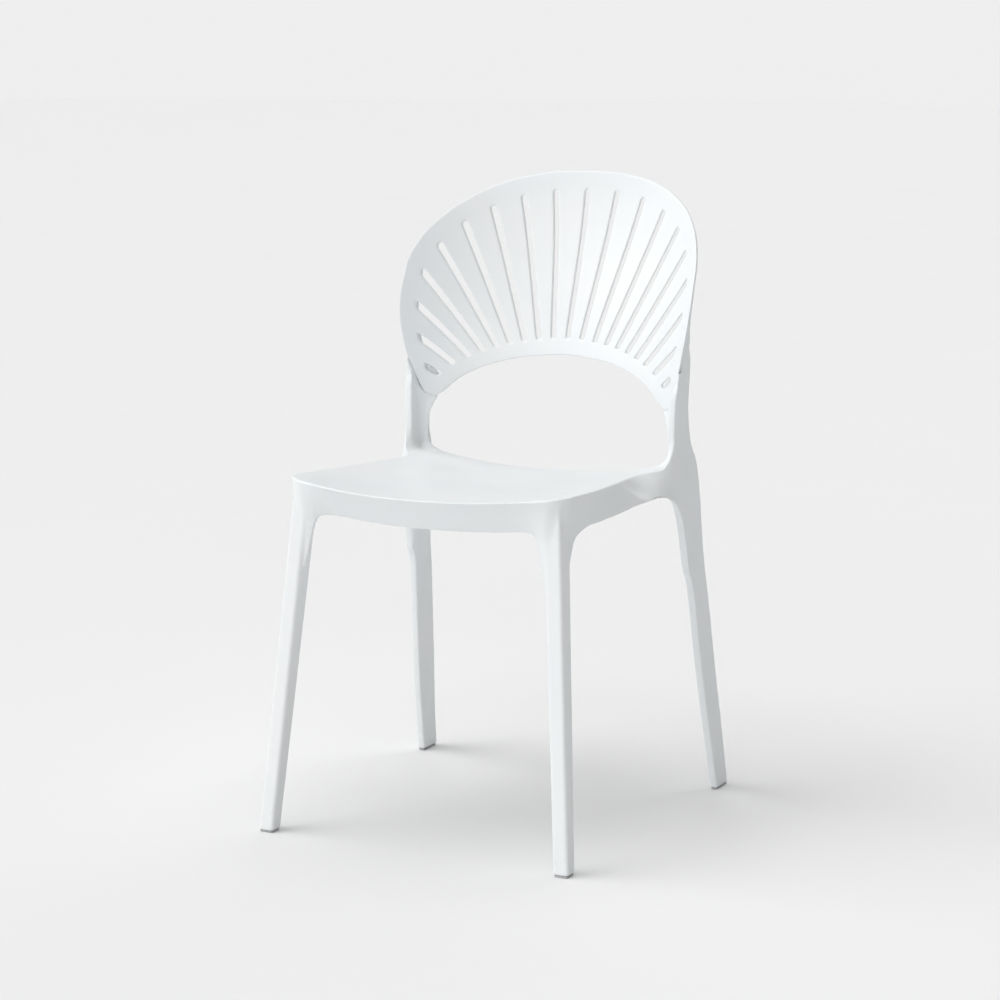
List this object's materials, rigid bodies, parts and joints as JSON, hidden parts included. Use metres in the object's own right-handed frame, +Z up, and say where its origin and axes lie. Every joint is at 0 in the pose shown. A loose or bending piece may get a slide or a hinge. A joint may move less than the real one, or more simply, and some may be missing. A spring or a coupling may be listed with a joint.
{
  "type": "stacking chair",
  "caption": "White plastic stacking chair: one-piece seat and splayed legs, with a separate curved fan-shaped back shell cut by radiating slots.",
  "frame": {"origin": "on the floor under the middle of the overall width and depth", "axes": "+Z up, -Y the way the sitter faces, +X the sitter's left"},
  "size_m": [0.4544, 0.5128, 0.812],
  "materials": {
    "frame_plastic": "satin moulded, cool white",
    "shell_plastic": "satin moulded, cool white",
    "glide_plastic": "matt grey",
    "screw_steel": "zinc plated"
  },
  "bodies": {
    "root": {"seat_frame": "frame_plastic", "fan_back": "shell_plastic", "glide_front_left": "glide_plastic", "glide_front_right": "glide_plastic", "glide_rear_left": "glide_plastic", "glide_rear_right": "glide_plastic", "back_screw_upper_left": "screw_steel", "back_screw_upper_right": "screw_steel", "back_screw_lower_left": "screw_steel", "back_screw_lower_right": "screw_steel"}
  },
  "joints": []
}
